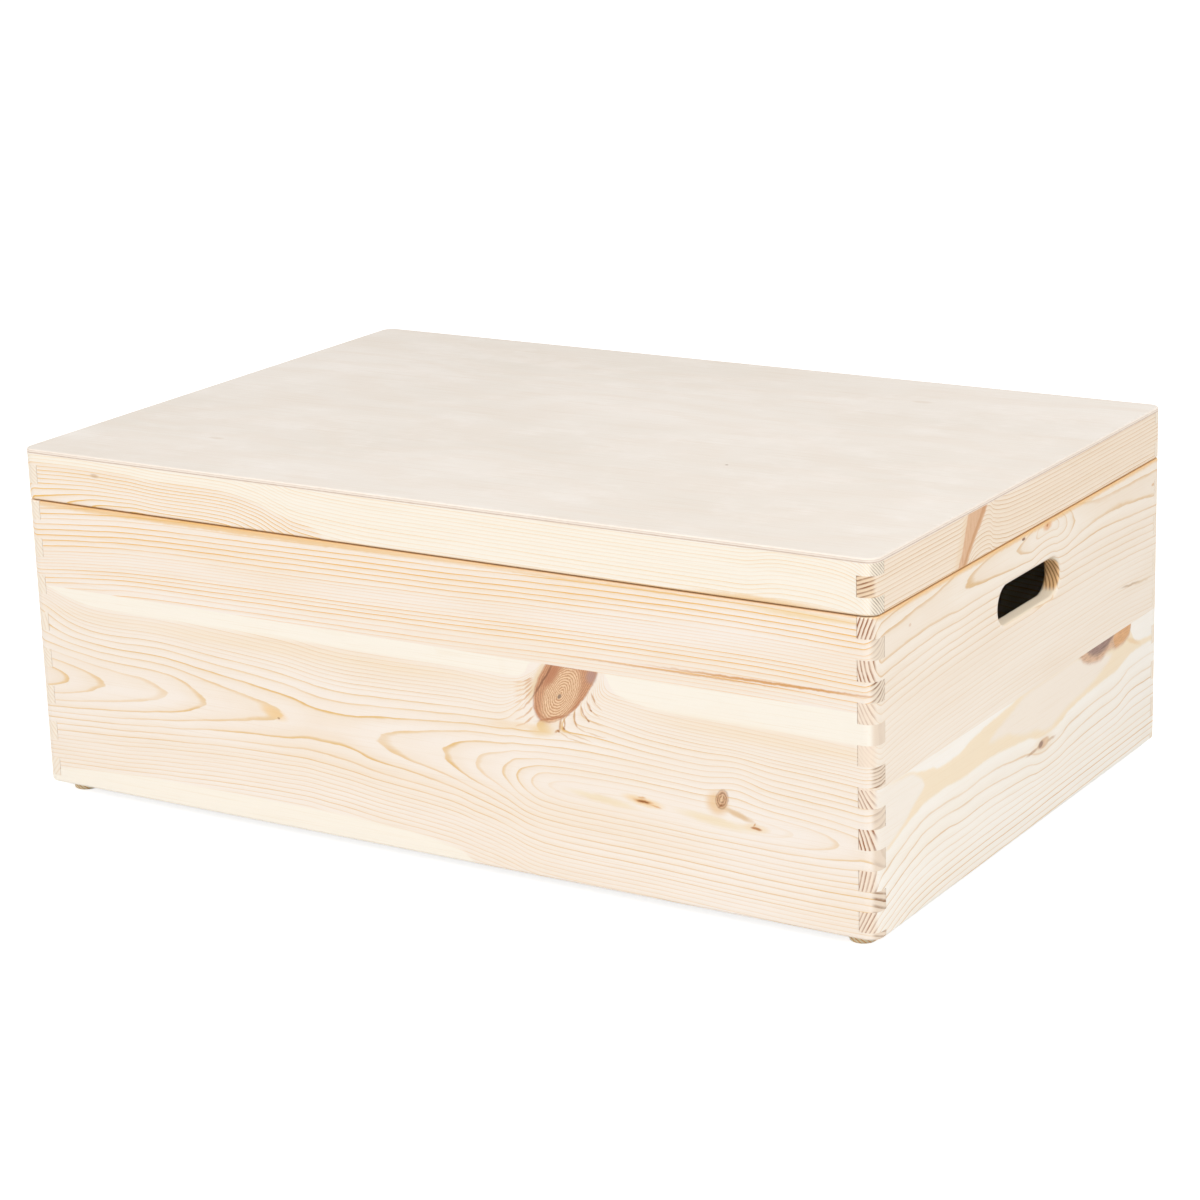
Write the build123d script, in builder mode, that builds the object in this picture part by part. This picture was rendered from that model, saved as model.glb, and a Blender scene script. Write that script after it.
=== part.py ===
# Pine storage box with a hinged lid.
# X runs to the right, Y to the back and Z up. The origin is on the ground, in the middle of the footprint,
# which takes in the hinges behind the back wall. Sizes are in millimetres.
import os
from math import cos, radians

from build123d import *

os.makedirs("parts", exist_ok=True)

# Box
LENGTH = 600.0
DEPTH = 400.0
BODY_HEIGHT = 187.6
WALL = 11.0
CORNER_RADIUS = 8.0
FRONT_UPPER_BOARD = 55.0
SIDE_UPPER_BOARD = 99.0

# Lid
LID_GAP = 0.8
RAIL_HEIGHT = 29.6
LID_PANEL = 3.0

# Finger joints, counted down from the top of the lid frame and from the rim
FINGER = 12.2
LID_TOP_FINGER = 7.1
FINGER_GAP = 0.25

# Eased edges
RIM_EASE = 1.0
INNER_EASE = 0.8
BASE_EASE = 1.5
LID_TOP_EASE = 1.2

# Hand slots, through both short sides
SLOT_LENGTH = 86.0
SLOT_HEIGHT = 24.0
SLOT_DROP = 37.0
SLOT_EASE = 2.5

# Bottom panel, let in flush from below
BOTTOM_PANEL = 4.0
LEDGE = 5.5
PANEL_CLEARANCE = 0.2

# Feet
FOOT_RADIUS = 8.0
FOOT_HEIGHT = 7.0
FOOT_INSET = 17.5
FOOT_EASE = 1.0

# Brads through the bottom panel
BRAD_RADIUS = 0.6
BRAD_HEAD_RADIUS = 1.2
BRAD_HEAD = 0.6
BRAD_LENGTH = 14.0
BRADS_LONG_SIDE = 5
BRADS_SHORT_SIDE = 3
BRAD_END = 60.0

# Hinges, with leaves let into the rim and the lid frame
HINGE_WIDTH = 40.0
HINGE_INSET = 110.0
LEAF = 1.5
LEAF_LIP = 1.5
LEAF_CLEARANCE = 0.15
KNUCKLES = 5
KNUCKLE_RADIUS = 2.8
KNUCKLE_GAP = 0.2
PIN_RADIUS = 1.0
PIN_CLEARANCE = 0.05
PIN_HEAD_RADIUS = 1.7
PIN_HEAD = 0.7
TAIL_REACH = 6.3
OPEN_ANGLE = 95.0
STOP_SLACK = 0.5

# Hinge screws
SCREWS_PER_LEAF = 3
SCREW_END = 6.0
SCREW_RADIUS = 1.1
SCREW_HEAD_RADIUS = 2.2
SCREW_LENGTH = 12.0
SCREW_CLEARANCE = 0.05
RECESS_LENGTH = 2.4
RECESS_WIDTH = 0.5
RECESS_DEPTH = 0.5

# Derived sizes and places
LEAF_DEPTH = WALL - LEAF_LIP
SCREW_PITCH = (HINGE_WIDTH - 2 * SCREW_END) / (SCREWS_PER_LEAF - 1)
TAIL_ANGLE = (OPEN_ANGLE + STOP_SLACK) / 2
KNUCKLE_OFFSET = KNUCKLE_RADIUS + KNUCKLE_GAP
BACK_REACH = KNUCKLE_OFFSET + max(KNUCKLE_RADIUS, TAIL_REACH * cos(radians(TAIL_ANGLE)))
MID_Y = -BACK_REACH / 2
BACK_Y = MID_Y + DEPTH / 2
AXIS_Y = BACK_Y + KNUCKLE_OFFSET
BASE = FOOT_HEIGHT
RIM = BASE + BODY_HEIGHT
SEAM = RIM + LID_GAP / 2
FRAME_LOW = RIM + LID_GAP
FRAME_TOP = FRAME_LOW + RAIL_HEIGHT
LID_TOP = FRAME_TOP + LID_PANEL
FRONT_GLUE_LINE = RIM - FRONT_UPPER_BOARD
SIDE_GLUE_LINE = RIM - SIDE_UPPER_BOARD
SLOT_MIDDLE = RIM - SLOT_DROP
ROOM_LENGTH = LENGTH - 2 * (WALL - LEDGE)
ROOM_DEPTH = DEPTH - 2 * (WALL - LEDGE)
STANDING = (Align.CENTER, Align.CENTER, Align.MIN)


def save(name, piece):
    """Label a finished piece and write it."""
    piece.part.label = name
    export_step(piece.part, f"parts/{name}.step")


def finger_levels(top, bottom, first):
    """Heights of the fingers from the top down, as (low, high) pairs, the last one cut short."""
    levels = [(max(top - first, bottom), top)]
    while levels[-1][0] > bottom:
        high = levels[-1][0]
        levels.append((max(high - FINGER, bottom), high))
    return levels


def corner_slots(levels, gap_x, gap_y):
    """The room at all four corners for the fingers at these heights, a little deep at their roots."""
    width = WALL + gap_x
    depth = WALL + gap_y
    with BuildPart() as slots:
        for low, high in levels:
            with Locations((0, MID_Y, low)):
                with GridLocations(LENGTH - width, DEPTH - depth, 2, 2):
                    Box(width, depth, high - low, align=STANDING)
    return slots.part


def rounded_block(low, high, low_ease, high_ease):
    """The outer shape of the box or lid between two heights, with rounded corners and eased edges."""
    with BuildPart() as block:
        with BuildSketch(Plane.XY.offset(low)):
            with Locations((0, MID_Y)):
                RectangleRounded(LENGTH, DEPTH, CORNER_RADIUS)
        extrude(amount=high - low)
        if low_ease:
            fillet(block.faces().sort_by(Axis.Z)[0].edges(), low_ease)
        if high_ease:
            fillet(block.faces().sort_by(Axis.Z)[-1].edges(), high_ease)
    return block.part


def inner_flare(edge_height, direction):
    """Takes the sharp edge off the inside of the rim or of the lid frame."""
    with BuildPart() as flare:
        with BuildSketch(Plane.XY.offset(edge_height)):
            with Locations((0, MID_Y)):
                Rectangle(LENGTH - 2 * WALL + 2 * INNER_EASE, DEPTH - 2 * WALL + 2 * INNER_EASE)
        extrude(amount=direction * INNER_EASE, taper=45)
    return flare.part


def long_board(side, low, high, outer_shape, cuts):
    """A board of the front (-1) or back (1) wall."""
    with BuildPart() as board:
        with Locations((0, MID_Y + side * (DEPTH - WALL) / 2, low)):
            Box(LENGTH, WALL, high - low, align=STANDING)
        add(outer_shape, mode=Mode.INTERSECT)
        for cut in cuts:
            add(cut, mode=Mode.SUBTRACT)
    return board


def short_board(side, low, high, outer_shape, cuts):
    """A board of the left (-1) or right (1) wall."""
    with BuildPart() as board:
        with Locations((side * (LENGTH - WALL) / 2, MID_Y, low)):
            Box(WALL, DEPTH, high - low, align=STANDING)
        add(outer_shape, mode=Mode.INTERSECT)
        for cut in cuts:
            add(cut, mode=Mode.SUBTRACT)
    return board


def brad_places():
    """Middle of each brad, on the ledge all round."""
    edge = WALL - LEDGE / 2
    half_length = LENGTH / 2
    half_depth = DEPTH / 2
    pitch_x = (LENGTH - 2 * BRAD_END) / (BRADS_LONG_SIDE - 1)
    pitch_y = (DEPTH - 2 * BRAD_END) / (BRADS_SHORT_SIDE - 1)
    places = []
    for side in (-1, 1):
        for step in range(BRADS_LONG_SIDE):
            places.append((step * pitch_x - half_length + BRAD_END, MID_Y + side * (half_depth - edge), BASE))
        for step in range(BRADS_SHORT_SIDE):
            places.append((side * (half_length - edge), MID_Y + step * pitch_y - half_depth + BRAD_END, BASE))
    return places


def brad_shapes(clearance):
    """The brads, driven up from below, or with a clearance the holes that they leave."""
    with BuildPart() as brads:
        with Locations(*brad_places()):
            Cylinder(BRAD_RADIUS + clearance, BRAD_LENGTH, align=STANDING)
            Cylinder(BRAD_HEAD_RADIUS + clearance, BRAD_HEAD, align=STANDING)
    return brads


def screw_places(hinge_x):
    """X of each screw in a leaf."""
    middle = (SCREWS_PER_LEAF - 1) / 2
    return [hinge_x + (step - middle) * SCREW_PITCH for step in range(SCREWS_PER_LEAF)]


def leaf_face(x, side):
    """The plane on a leaf's inner face at a screw, facing out of the wood that carries the leaf."""
    return Plane(origin=(x, BACK_Y - LEAF_DEPTH / 2, SEAM), x_dir=(1, 0, 0), z_dir=(0, 0, -side))


def screw_shapes(side, clearance):
    """The screws of one side, -1 in the rim and 1 in the lid, or with a clearance the holes for them."""
    cone = SCREW_HEAD_RADIUS - SCREW_RADIUS
    with BuildPart() as screws:
        for hinge_x in HINGE_PLACES:
            for x in screw_places(hinge_x):
                face = leaf_face(x, side)
                with BuildSketch(face):
                    Circle(SCREW_RADIUS + clearance)
                extrude(amount=-SCREW_LENGTH)
                with BuildSketch(face):
                    Circle(SCREW_HEAD_RADIUS + clearance)
                extrude(amount=-cone, taper=45)
                if not clearance:
                    with BuildSketch(face):
                        Rectangle(RECESS_LENGTH, RECESS_WIDTH)
                        Rectangle(RECESS_WIDTH, RECESS_LENGTH)
                    extrude(amount=-RECESS_DEPTH, mode=Mode.SUBTRACT)
    return screws


def hinge_pockets(side):
    """The shallow pockets for the leaves, -1 in the rim and 1 in the lid frame."""
    depth = LEAF_DEPTH + LEAF_CLEARANCE
    with BuildPart() as pockets:
        for hinge_x in HINGE_PLACES:
            with Locations((hinge_x, BACK_Y - depth / 2, SEAM + side * LEAF / 2)):
                Box(HINGE_WIDTH + 2 * LEAF_CLEARANCE, depth, LEAF)
    return pockets.part


def knuckle_spans(first, hinge_x, margin):
    """Start and length in X of every other knuckle from the first, longer by the margin at each end."""
    pitch = HINGE_WIDTH / KNUCKLES
    start = hinge_x - HINGE_WIDTH / 2
    return [(start + index * pitch - margin, pitch + 2 * margin) for index in range(first, KNUCKLES, 2)]


def hinge_leaf(hinge_x, side):
    """A leaf with its knuckles and its stop tail, -1 for the box and 1 for the lid."""
    own_first = 0 if side < 0 else 1
    end = Plane.YZ.offset(hinge_x - HINGE_WIDTH / 2)
    plate_depth = LEAF_DEPTH + KNUCKLE_OFFSET
    with BuildPart() as leaf:
        with BuildSketch(end):
            with Locations((AXIS_Y - plate_depth / 2, SEAM + side * LEAF / 2)):
                Rectangle(plate_depth, LEAF)
            with Locations(Location((AXIS_Y, SEAM), side * TAIL_ANGLE)):
                with Locations((TAIL_REACH / 2, side * LEAF / 2)):
                    Rectangle(TAIL_REACH, LEAF)
        extrude(amount=HINGE_WIDTH)
        for start, length in knuckle_spans(1 - own_first, hinge_x, KNUCKLE_GAP / 2):
            with BuildSketch(Plane.YZ.offset(start)):
                with Locations((AXIS_Y, SEAM)):
                    Circle(KNUCKLE_RADIUS + KNUCKLE_GAP)
            extrude(amount=length, mode=Mode.SUBTRACT)
        for start, length in knuckle_spans(own_first, hinge_x, -KNUCKLE_GAP / 2):
            with BuildSketch(Plane.YZ.offset(start)):
                with Locations((AXIS_Y, SEAM)):
                    Circle(KNUCKLE_RADIUS)
            extrude(amount=length)
        with BuildSketch(end):
            with Locations((AXIS_Y, SEAM)):
                Circle(PIN_RADIUS + PIN_CLEARANCE)
        extrude(amount=HINGE_WIDTH, mode=Mode.SUBTRACT)
        add(screw_holes[side], mode=Mode.SUBTRACT)
    return leaf


def hinge_pin(hinge_x):
    """The pin, with a small upset head at each end."""
    with BuildPart() as pin:
        with BuildSketch(Plane.YZ.offset(hinge_x)):
            with Locations((AXIS_Y, SEAM)):
                Circle(PIN_RADIUS)
        extrude(amount=HINGE_WIDTH / 2, both=True)
        for direction in (-1, 1):
            with BuildSketch(Plane.YZ.offset(hinge_x + direction * HINGE_WIDTH / 2)):
                with Locations((AXIS_Y, SEAM)):
                    Circle(PIN_HEAD_RADIUS)
            extrude(amount=direction * PIN_HEAD)
        ends = pin.faces().sort_by(Axis.X)
        fillet([ends[0].edges(), ends[-1].edges()], PIN_HEAD / 2)
    return pin


# Shapes that several pieces are cut by
HINGE_PLACES = [-LENGTH / 2 + HINGE_INSET, LENGTH / 2 - HINGE_INSET]
body_levels = finger_levels(RIM, BASE, FINGER)
lid_levels = finger_levels(FRAME_TOP, FRAME_LOW, LID_TOP_FINGER)
body_shape = rounded_block(BASE, RIM, BASE_EASE, RIM_EASE)
lid_frame_shape = rounded_block(FRAME_LOW, FRAME_TOP, RIM_EASE, 0)
body_long_slots = corner_slots(body_levels[0::2], FINGER_GAP, 0)
body_short_slots = corner_slots(body_levels[1::2], 0, FINGER_GAP)
lid_long_slots = corner_slots(lid_levels[1::2], FINGER_GAP, 0)
lid_short_slots = corner_slots(lid_levels[0::2], 0, FINGER_GAP)
rim_flare = inner_flare(RIM, -1)
lid_flare = inner_flare(FRAME_LOW, 1)
brad_holes = brad_shapes(SCREW_CLEARANCE).part
screw_holes = {side: screw_shapes(side, SCREW_CLEARANCE).part for side in (-1, 1)}

with BuildPart() as panel_room:
    with Locations((0, MID_Y, BASE)):
        Box(ROOM_LENGTH, ROOM_DEPTH, BOTTOM_PANEL, align=STANDING)

# Walls
body_cuts = [panel_room.part, brad_holes, rim_flare]
for side, wall in ((-1, "front"), (1, "back")):
    lower = long_board(side, BASE, FRONT_GLUE_LINE, body_shape, [body_long_slots, *body_cuts])
    upper_cuts = [body_long_slots, rim_flare]
    if side > 0:
        upper_cuts += [hinge_pockets(-1), screw_holes[-1]]
    upper = long_board(side, FRONT_GLUE_LINE, RIM, body_shape, upper_cuts)
    save(f"{wall}_wall_lower_board", lower)
    save(f"{wall}_wall_upper_board", upper)

for side, wall in ((-1, "left"), (1, "right")):
    lower = short_board(side, BASE, SIDE_GLUE_LINE, body_shape, [body_short_slots, *body_cuts])
    with BuildPart() as upper:
        add(short_board(side, SIDE_GLUE_LINE, RIM, body_shape, [body_short_slots, rim_flare]).part)
        with BuildSketch(Plane.YZ.offset(side * LENGTH / 2)):
            with Locations((MID_Y, SLOT_MIDDLE)):
                SlotOverall(SLOT_LENGTH, SLOT_HEIGHT)
        extrude(amount=-side * WALL, mode=Mode.SUBTRACT)
        near_slot = upper.edges().filter_by_position(
            Axis.Y, MID_Y - SLOT_LENGTH / 2 - 1, MID_Y + SLOT_LENGTH / 2 + 1
        )
        slot_edges = near_slot.filter_by_position(
            Axis.Z, SLOT_MIDDLE - SLOT_HEIGHT / 2 - 1, SLOT_MIDDLE + SLOT_HEIGHT / 2 + 1
        )
        fillet(slot_edges.filter_by(Axis.X, reverse=True), SLOT_EASE)
    save(f"{wall}_wall_lower_board", lower)
    save(f"{wall}_wall_upper_board", upper)

# Bottom panel and its brads
with BuildPart() as bottom_panel:
    with Locations((0, MID_Y, BASE)):
        Box(
            ROOM_LENGTH - 2 * PANEL_CLEARANCE,
            ROOM_DEPTH - 2 * PANEL_CLEARANCE,
            BOTTOM_PANEL,
            align=STANDING,
        )
    add(brad_holes, mode=Mode.SUBTRACT)
save("bottom_panel", bottom_panel)
save("bottom_panel_brads", brad_shapes(0))

# Feet, half under the walls and half under the bottom panel
for side_y, row in ((-1, "front"), (1, "back")):
    for side_x, end in ((-1, "left"), (1, "right")):
        centre_x = side_x * (LENGTH / 2 - FOOT_INSET)
        centre_y = MID_Y + side_y * (DEPTH / 2 - FOOT_INSET)
        with BuildPart() as foot:
            with BuildSketch(Plane.XY):
                with Locations((centre_x, centre_y)):
                    Circle(FOOT_RADIUS)
            extrude(amount=FOOT_HEIGHT)
            fillet(foot.faces().sort_by(Axis.Z)[0].edges(), FOOT_EASE)
        save(f"{row}_{end}_foot", foot)

# Lid frame
for side, rail in ((-1, "front"), (1, "back")):
    rail_cuts = [lid_long_slots, lid_flare]
    if side > 0:
        rail_cuts += [hinge_pockets(1), screw_holes[1]]
    save(f"lid_{rail}_rail", long_board(side, FRAME_LOW, FRAME_TOP, lid_frame_shape, rail_cuts))
for side, rail in ((-1, "left"), (1, "right")):
    save(f"lid_{rail}_rail", short_board(side, FRAME_LOW, FRAME_TOP, lid_frame_shape, [lid_short_slots, lid_flare]))

# Lid panel, glued on the frame
with BuildPart() as lid_panel:
    add(rounded_block(FRAME_TOP, LID_TOP, 0, LID_TOP_EASE))
save("lid_panel", lid_panel)

# Hinges
for hinge_x, end in zip(HINGE_PLACES, ("left", "right")):
    save(f"{end}_hinge_box_leaf", hinge_leaf(hinge_x, -1))
    save(f"{end}_hinge_lid_leaf", hinge_leaf(hinge_x, 1))
    save(f"{end}_hinge_pin", hinge_pin(hinge_x))
save("box_hinge_screws", screw_shapes(-1, 0))
save("lid_hinge_screws", screw_shapes(1, 0))
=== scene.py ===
import math

import bpy
from mathutils import Matrix, Vector


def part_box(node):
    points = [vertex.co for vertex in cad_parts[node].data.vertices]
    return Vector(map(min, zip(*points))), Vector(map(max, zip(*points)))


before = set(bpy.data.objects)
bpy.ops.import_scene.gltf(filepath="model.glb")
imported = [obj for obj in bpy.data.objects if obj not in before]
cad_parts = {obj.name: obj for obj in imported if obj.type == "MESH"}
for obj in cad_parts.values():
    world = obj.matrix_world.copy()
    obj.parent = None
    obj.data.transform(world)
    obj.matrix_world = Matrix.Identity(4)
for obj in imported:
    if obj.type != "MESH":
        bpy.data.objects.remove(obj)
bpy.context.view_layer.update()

# Raw pine storage box with a hinged lid. Places on the boards are in millimetres:
# u along the grain, v up from the walls' lower edge and w in from the outer face.
MILLI = 0.001
low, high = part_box("front_wall_lower_board")
FRONT_Y = low.y / MILLI
LEFT_X = low.x / MILLI
RIGHT_X = high.x / MILLI
BASE_Z = low.z / MILLI
BACK_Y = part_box("back_wall_lower_board")[1].y / MILLI
MID_Y = (FRONT_Y + BACK_Y) / 2
SEAM = (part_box("front_wall_upper_board")[1].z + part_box("lid_front_rail")[0].z) / 2 / MILLI - BASE_Z


def rgb(red, green, blue):
    """Scene colour of a display colour given from 0 to 255."""
    linear = [c / 255 / 12.92 if c <= 10 else ((c / 255 + 0.055) / 1.055) ** 2.4 for c in (red, green, blue)]
    return (*linear, 1.0)


# Node helpers

class Field:
    """One output of a material's nodes, with arithmetic on it."""

    def __init__(self, tree, socket):
        self.tree = tree
        self.socket = socket

    def math(self, operation, *others):
        """A math node on this output."""
        return make(self.tree, "ShaderNodeMath", [self, *others], operation=operation)

    def __add__(self, other):
        return self.math("ADD", other)

    def __sub__(self, other):
        return self.math("SUBTRACT", other)

    def __rsub__(self, other):
        return self.math("MULTIPLY_ADD", -1.0, other)

    def __mul__(self, other):
        return self.math("MULTIPLY", other)

    def __truediv__(self, other):
        return self.math("DIVIDE", other)


def make(tree, kind, inputs=(), output=0, **settings):
    """Add a node, set it up and give back one of its outputs."""
    node = tree.nodes.new(kind)
    for name, value in settings.items():
        setattr(node, name, value)
    for key, value in inputs.items() if isinstance(inputs, dict) else enumerate(inputs):
        if isinstance(value, Field):
            tree.links.new(value.socket, node.inputs[key])
        else:
            node.inputs[key].default_value = value
    return Field(tree, node.outputs[output])


def curve(x, points):
    """A smooth line through (x, y) points."""
    lows = [min(p[i] for p in points) for i in (0, 1)]
    spans = [max(p[i] for p in points) - lows[i] or 1.0 for i in (0, 1)]
    place = (x - lows[0]) / spans[0]
    out = make(x.tree, "ShaderNodeFloatCurve", {"Value": place})
    mapping = out.socket.node.mapping
    mapping.extend = "HORIZONTAL"
    line = mapping.curves[0]
    scaled = [((px - lows[0]) / spans[0], (py - lows[1]) / spans[1]) for px, py in points]
    line.points[0].location = scaled[0]
    line.points[1].location = scaled[-1]
    for spot in scaled[1:-1]:
        line.points.new(*spot)
    for point in line.points:
        point.handle_type = "AUTO_CLAMPED"
    mapping.update()
    return out * spans[1] + lows[1]


def ramp(x, start, end):
    """From 0 at start to 1 at end, smoothly, in either direction."""
    return make(x.tree, "ShaderNodeMapRange", {0: x, 1: start, 2: end}, interpolation_type="SMOOTHSTEP")


def blend(amount, a, b):
    """Mix two colours."""
    return make(amount.tree, "ShaderNodeMix", {0: amount, 6: a, 7: b}, output=2, data_type="RGBA")


def shade(colour, amount, tint):
    """Multiply a colour by a tint, by amount."""
    return make(
        amount.tree, "ShaderNodeMix", {0: amount, 6: colour, 7: tint}, output=2, data_type="RGBA",
        blend_type="MULTIPLY"
    )


def vector(x, y, z):
    """One place from three outputs."""
    return make(x.tree, "ShaderNodeCombineXYZ", [x, y, z])


def split(place):
    """The three parts of a place."""
    parts = make(place.tree, "ShaderNodeSeparateXYZ", [place]).socket.node
    return [Field(place.tree, parts.outputs[i]) for i in range(3)]


def noise(place, detail=2.0, roughness=0.5, scale=1.0):
    """Noise from about -1 to 1, with spots about one unit of the place across at scale 1."""
    inputs = {"Vector": place, "Scale": scale, "Detail": detail, "Roughness": roughness}
    return make(place.tree, "ShaderNodeTexNoise", inputs) * 2.0 - 1.0


def shaken(u, v, depth, reach, amount):
    """The place (u, v), moved about by up to about amount over this reach."""
    place = vector(u / reach, v / reach, depth)
    shift = make(u.tree, "ShaderNodeTexNoise", {"Vector": place, "Scale": 1.0, "Detail": 3.0}, output="Color")
    middle = -0.5 * amount
    moved = make(
        u.tree, "ShaderNodeVectorMath", [shift, (amount, amount, 0.0), (middle, middle, 0.0)],
        operation="MULTIPLY_ADD"
    )
    return make(u.tree, "ShaderNodeVectorMath", [moved, vector(u, v, 0.0)], operation="ADD")


def paint(face, spot, marks):
    """Lay soft ovals over the face: place, half sizes, tilt, softness, amount and colour, some with rings."""
    for u, v, long, short, tilt, soft, amount, tint, *rings in marks:
        inputs = {
            "Vector": spot, "Location": (u, v, 0.0), "Rotation": (0.0, 0.0, math.radians(tilt)),
            "Scale": (long, short, 1.0),
        }
        local = make(spot.tree, "ShaderNodeMapping", inputs, vector_type="TEXTURE")
        away = make(spot.tree, "ShaderNodeVectorMath", [local], output="Value", operation="LENGTH")
        if rings:
            count, ring_tint, strength = rings
            grain = noise(spot, 3.0, 0.6, scale=0.8)
            bands = ((away * count + grain * 0.5).math("FRACT") - 0.5).math("ABSOLUTE") * 2.0
            tint = blend((bands + grain * 0.5) * strength, tint, ring_tint)
        face = blend(ramp(away, 1.0 + soft, 1.0 - soft) * amount, face, tint)
    return face


def patch(face, spot, zones):
    """Lay soft-edged zones over the face: along u or v, from one line to another, some with strokes."""
    u, v, _ = split(spot)
    for along_axis, lows, highs, soft, amount, tint, *strokes in zones:
        along, across = (u, v) if along_axis == "u" else (v, u)
        over = ramp(across - curve(along, lows), -soft, soft)
        under = ramp(curve(along, highs) - across, -soft, soft)
        if strokes:
            stroke_tint, strength = strokes
            grain = noise(vector(along / 9, across / 0.9, 0.0), 3.0, 0.6)
            tint = blend(ramp(grain, -0.3, 0.6) * strength, tint, stroke_tint)
        face = blend(over * under * amount, face, tint)
    return face


STREAK_SOFTNESS = 0.6


def streak(u0, v0, u1, v1, half_width, amount, tint):
    """A mark from one place to another."""
    long = math.hypot(u1 - u0, v1 - v0) / 2
    tilt = math.degrees(math.atan2(v1 - v0, u1 - u0))
    return ((u0 + u1) / 2, (v0 + v1) / 2, long, half_width, tilt, STREAK_SOFTNESS, amount, tint)


def new_material(name, slot_colour, roughness):
    """A material with its shader, ready for the nodes of its pattern."""
    material = bpy.data.materials.new(name)
    material.use_nodes = True
    material.diffuse_color = slot_colour
    tree = material.node_tree
    shader = tree.nodes["Principled BSDF"]
    shader.inputs["Roughness"].default_value = roughness
    return material, tree, shader


def places(tree):
    """Object coordinates in millimetres, and the object's own normal."""
    coordinates = tree.nodes.new("ShaderNodeTexCoord")
    place, normal = (split(Field(tree, coordinates.outputs[name])) for name in ("Object", "Normal"))
    x, y, z = (axis / MILLI for axis in place)
    return x, y, z, normal


def finish_surface(tree, shader, colour, height, relief, roughness=None):
    """Join colour, relief in millimetres and, where it varies, roughness to the shader."""
    tree.links.new(colour.socket, shader.inputs["Base Color"])
    bump = make(tree, "ShaderNodeBump", {"Strength": 1.0, "Distance": relief * MILLI, "Height": height})
    tree.links.new(bump.socket, shader.inputs["Normal"])
    if roughness is not None:
        tree.links.new(roughness.socket, shader.inputs["Roughness"])


# Pine. A noise is drawn out along the grain: the divisors are its size in millimetres along u, v and w.

PALE = rgb(251, 241, 231)
WARM = rgb(249, 235, 219)
SAP = rgb(253, 245, 231)
LATE = rgb(232, 192, 126)
HONEY = rgb(214, 148, 66)
# The colour below is painted bounce light: the orange band along the lid seam, laid as streaks on the boards
# beside it
SEAM_BOUNCE_LIGHT = rgb(240, 196, 130)
RESIN = rgb(243, 222, 180)
TAN = rgb(226, 182, 140)
RUST = rgb(205, 150, 114)
UMBER = rgb(158, 116, 88)
SPECK = rgb(188, 148, 110)
FIBRE_TINT = rgb(240, 229, 213)
HAIR_TINT = rgb(242, 229, 209)
END_SPECK_TINT = rgb(228, 210, 188)
# Painted bounce light at the lid seam: the orange glow on the face edges and on the rims' outer strips
SEAM_EDGE_BOUNCE_LIGHT = rgb(234, 190, 130)
SEAM_RIM_BOUNCE_LIGHT = rgb(230, 184, 122)

# Raw wood's dull shine, and how deep its fibres lie, in millimetres
WOOD_ROUGHNESS = 0.65
WOOD_SPECULAR = 0.3
WOOD_RELIEF = 0.06

# Distances in millimetres between which an effect fades in: for the seam's painted bounce light, from the
# seam up and down and in from the outer face at the seam, and for the slot's painted light and warmer end
# grain, from the middle of the right wall's hand slot, along it and across it
SEAM_BAND = (1.9, 0.8)
SEAM_BAND_IN = (3.4, 1.4)
SLOT_HALF_LENGTH = (70.0, 60.0)
SLOT_HALF_HEIGHT = (20.0, 15.0)
SLOT_BELOW_RIM = 37.0
SLOT_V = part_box("right_wall_upper_board")[1].z / MILLI - BASE_Z - SLOT_BELOW_RIM


def ring_number(u, v, w, wood):
    """How many growth rings lie between the pith and this place."""
    for at_u, at_v, reach_u, reach_v, lean, soft in wood.get("mounds", []):
        rise = v - at_v
        a = (u - at_u - rise * lean) / reach_u
        b = rise / reach_v
        push = ((1.0 - a * a - b * b) / soft).math("EXPONENT").math("MINIMUM", 1.0)
        v = v - rise.math("MAXIMUM", 0.0) * push
    for at_u, at_v, reach_u, reach_v, lift in wood.get("bends", []):
        a = (u - at_u) / reach_u
        b = (v - at_v) / reach_v
        v = v - (a * a + b * b).math("MULTIPLY", -1.0).math("EXPONENT") * lift
    middle = curve(u, wood["pith"])
    depth = curve(u, wood["depth"])
    if "settled" in wood:
        line, even, start, end = wood["settled"]
        line = curve(u, line)
        near = ramp(v, start, end)
        middle = line + (middle - line) * near
        depth = (depth - even) * near + even
    height = v - middle
    if "spread" in wood:
        height = curve(height, wood["spread"])
    return curve((height * height + depth * depth).math("SQRT"), wood["count"]) + w * wood.get("inward", 0.3)


def on_board(side, x, y, normal):
    """A place's u and w on its board, and the part of its normal that points along the grain."""
    if side == "front":
        return x, y - FRONT_Y, normal[0]
    if side == "back":
        return 0.0 - x, BACK_Y - y, normal[0]
    if side == "right":
        return y - MID_Y, RIGHT_X - x, normal[1]
    return MID_Y - y, x - LEFT_X, normal[1]


def growth(u, v, w, wood):
    """How far through its growth ring a place is, from 0 to 1, and how strong that ring's line is."""
    seed = wood["seed"]
    slow = noise(vector(u / 90, v / 14, w / 30 + seed))
    quick = noise(vector(u / 14, v / 4, w / 8 + seed))
    rings = ring_number(u, v, w, wood) + slow * 0.22 + quick * 0.08
    ring = rings.math("FLOOR")
    chance = make(u.tree, "ShaderNodeTexWhiteNoise", {"W": ring + seed * 7.0}, noise_dimensions="1D")
    strength = chance * 0.6 + 0.5
    if "bold" in wood:
        strength = strength * curve(ring + 1.0, wood["bold"])
    return rings - ring, strength


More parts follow.
